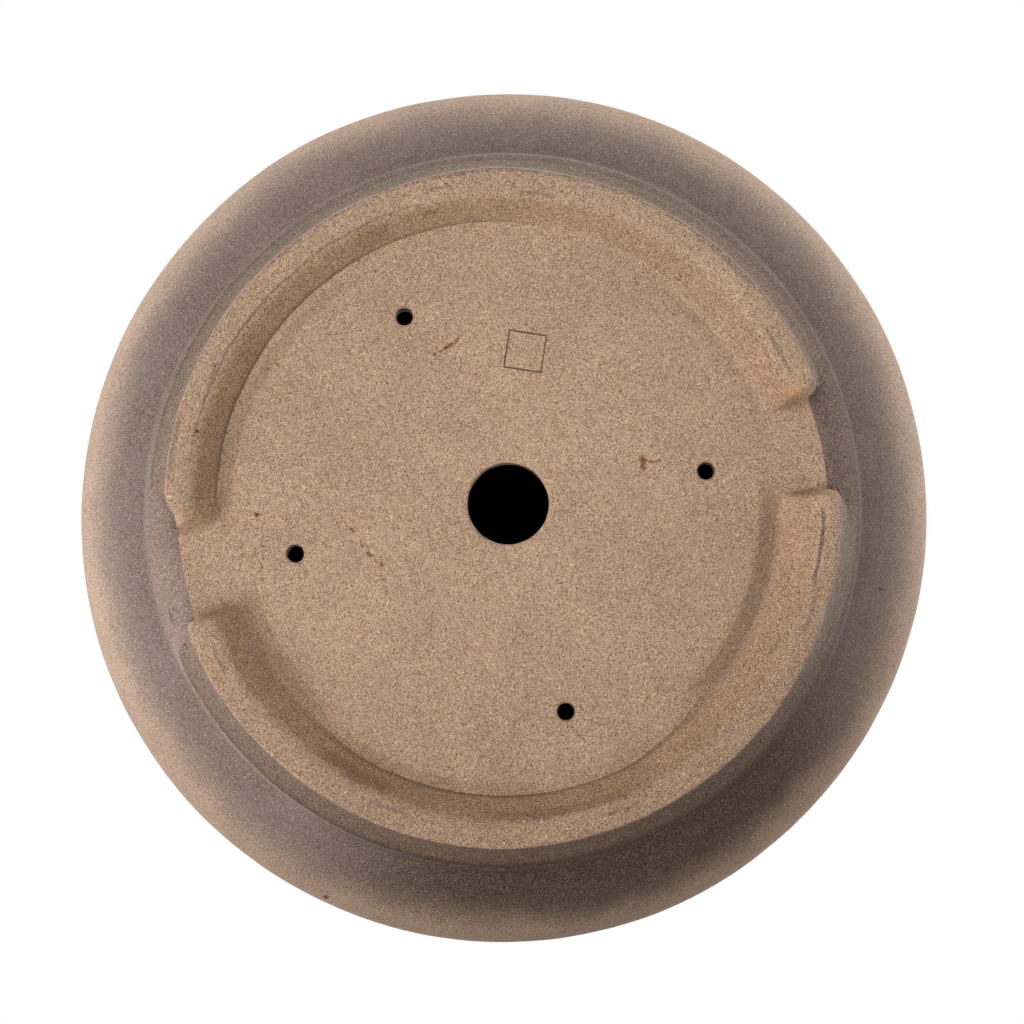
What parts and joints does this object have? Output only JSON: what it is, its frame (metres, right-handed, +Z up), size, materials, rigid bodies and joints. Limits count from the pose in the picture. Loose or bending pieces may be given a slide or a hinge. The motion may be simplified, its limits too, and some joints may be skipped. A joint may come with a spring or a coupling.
{
  "type": "round bonsai pot",
  "caption": "Low round stoneware bonsai pot with a swelling belly, rolled rim, split foot ring, central drain hole and small tie-wire holes.",
  "frame": {"origin": "on the pot's axis at the level of the foot treads, where it stands", "axes": "+Z up out of the mouth, X through the two gaps in the foot ring"},
  "size_m": [0.3, 0.3, 0.09],
  "materials": {
    "bare_clay": "unglazed sandy stoneware, bare",
    "foot_clay": "unglazed sandy stoneware, bare and worn smooth on the tread",
    "washed_clay": "unglazed stoneware under a dark grey-brown wash that fades to bare clay at the girth",
    "rim_clay": "unglazed sandy stoneware, sponged smooth"
  },
  "bodies": {
    "root": {"floor_slab": "bare_clay", "bowl_wall": "washed_clay", "rim_band": "rim_clay", "foot_arc_back": "foot_clay", "foot_arc_front": "foot_clay"}
  },
  "joints": []
}
